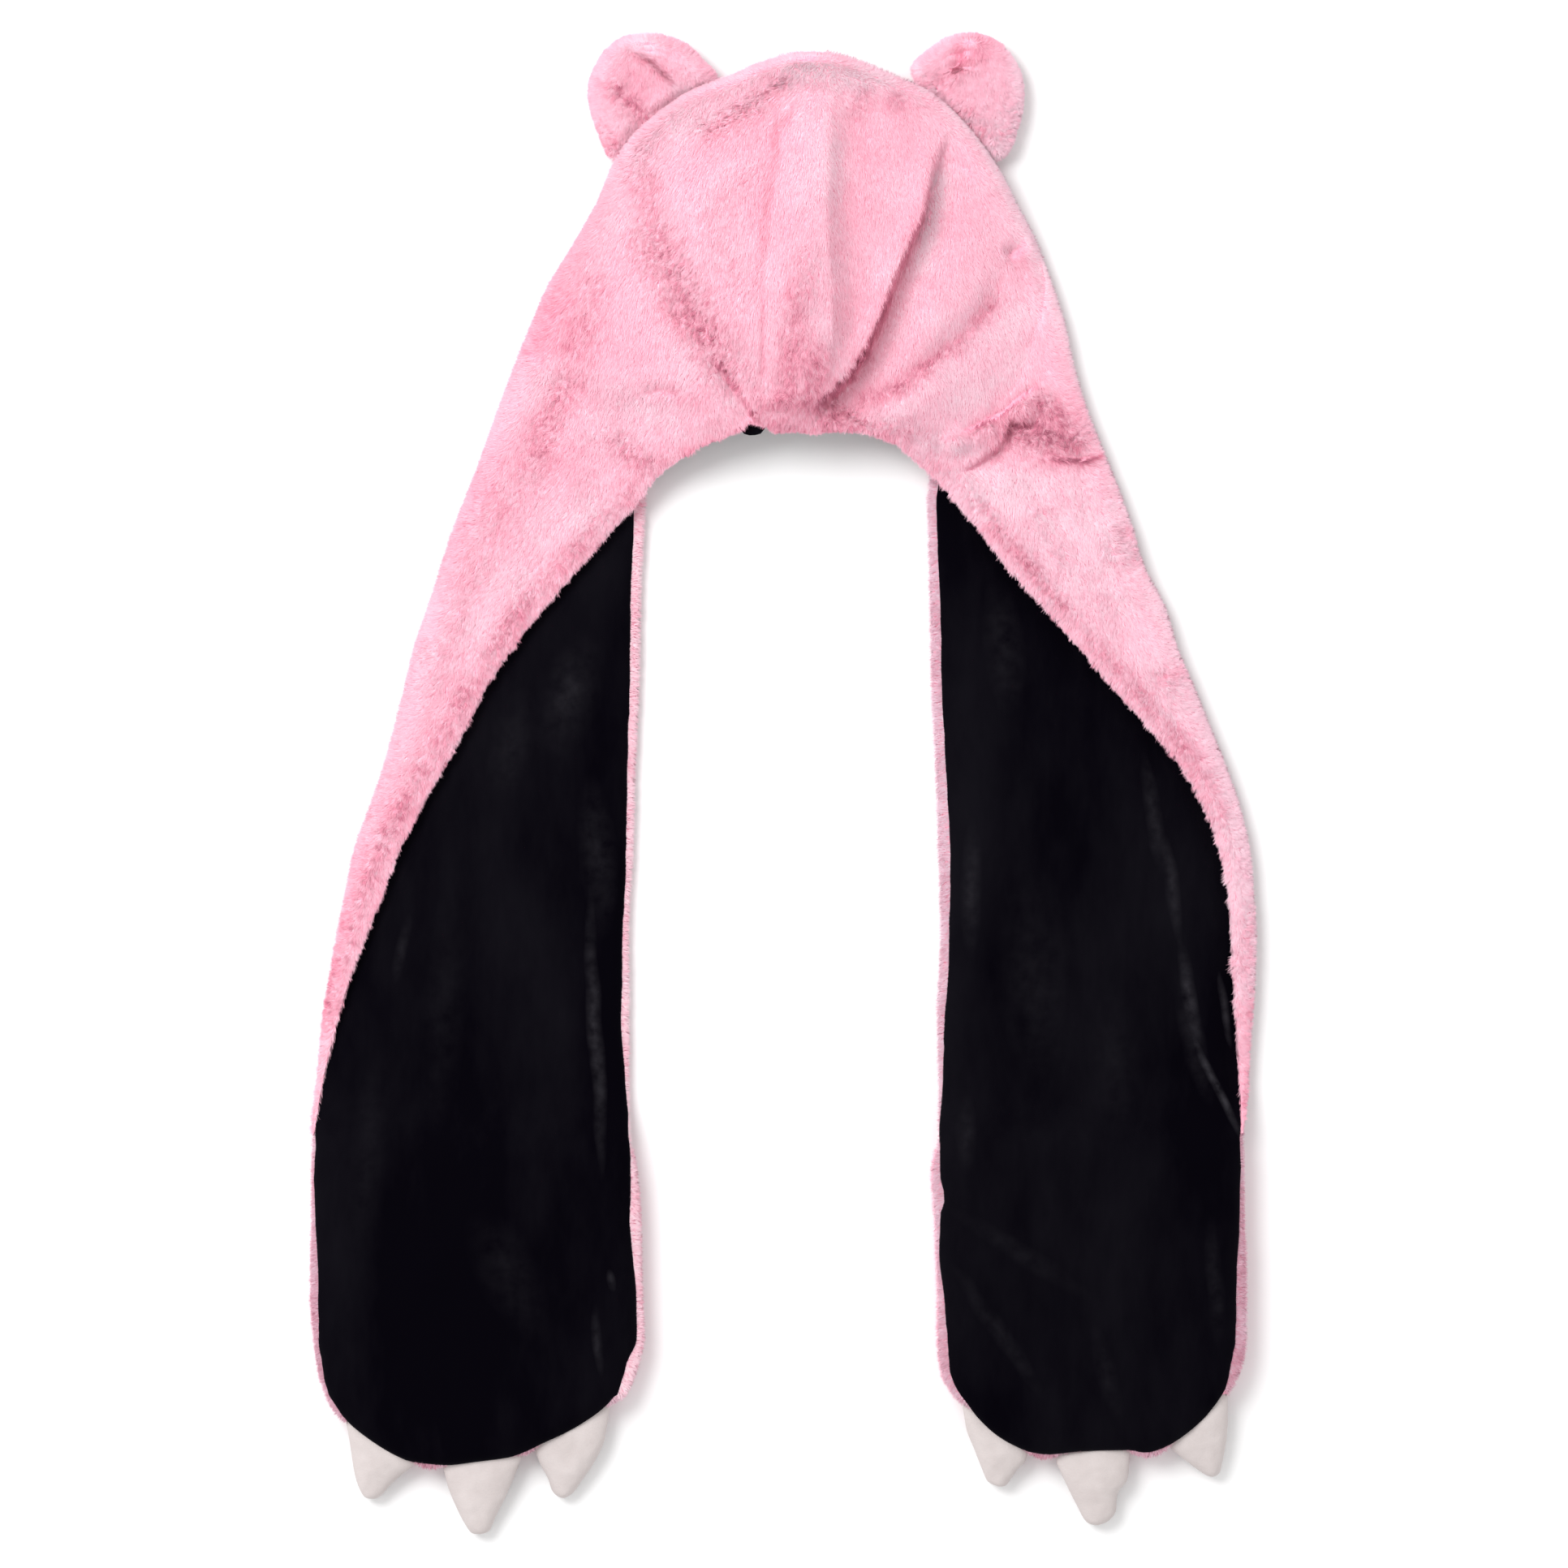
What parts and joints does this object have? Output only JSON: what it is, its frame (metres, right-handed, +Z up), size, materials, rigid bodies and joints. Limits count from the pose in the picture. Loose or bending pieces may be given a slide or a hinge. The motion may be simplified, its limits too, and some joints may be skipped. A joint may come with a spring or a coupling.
{
  "type": "animal hood scarf",
  "caption": "Plush hood with round ears whose front edges run down into two long scarf arms ending in clawed paws with hand pockets.",
  "frame": {"origin": "on the surface it lies on, under the middle of its outline", "axes": "+Z up, +Y from the claws to the crown, +X to the right in the picture, where the back of the hood is up"},
  "size_m": [0.5839, 0.926, 0.0782],
  "materials": {
    "fur": "soft pink faux fur, short dense pile",
    "velvet": "black velvet with a faint sheen",
    "plush": "off-white short-nap plush"
  },
  "bodies": {
    "root": {"hood_fur": "fur", "hood_lining": "velvet", "arm_fur_left": "fur", "arm_fur_right": "fur", "arm_lining_left": "velvet", "arm_lining_right": "velvet", "paw_pocket_left": "fur", "paw_pocket_right": "fur", "ear_left": "fur", "ear_right": "fur", "claw_left_1": "plush", "claw_left_2": "plush", "claw_left_3": "plush", "claw_right_1": "plush", "claw_right_2": "plush", "claw_right_3": "plush"}
  },
  "joints": []
}
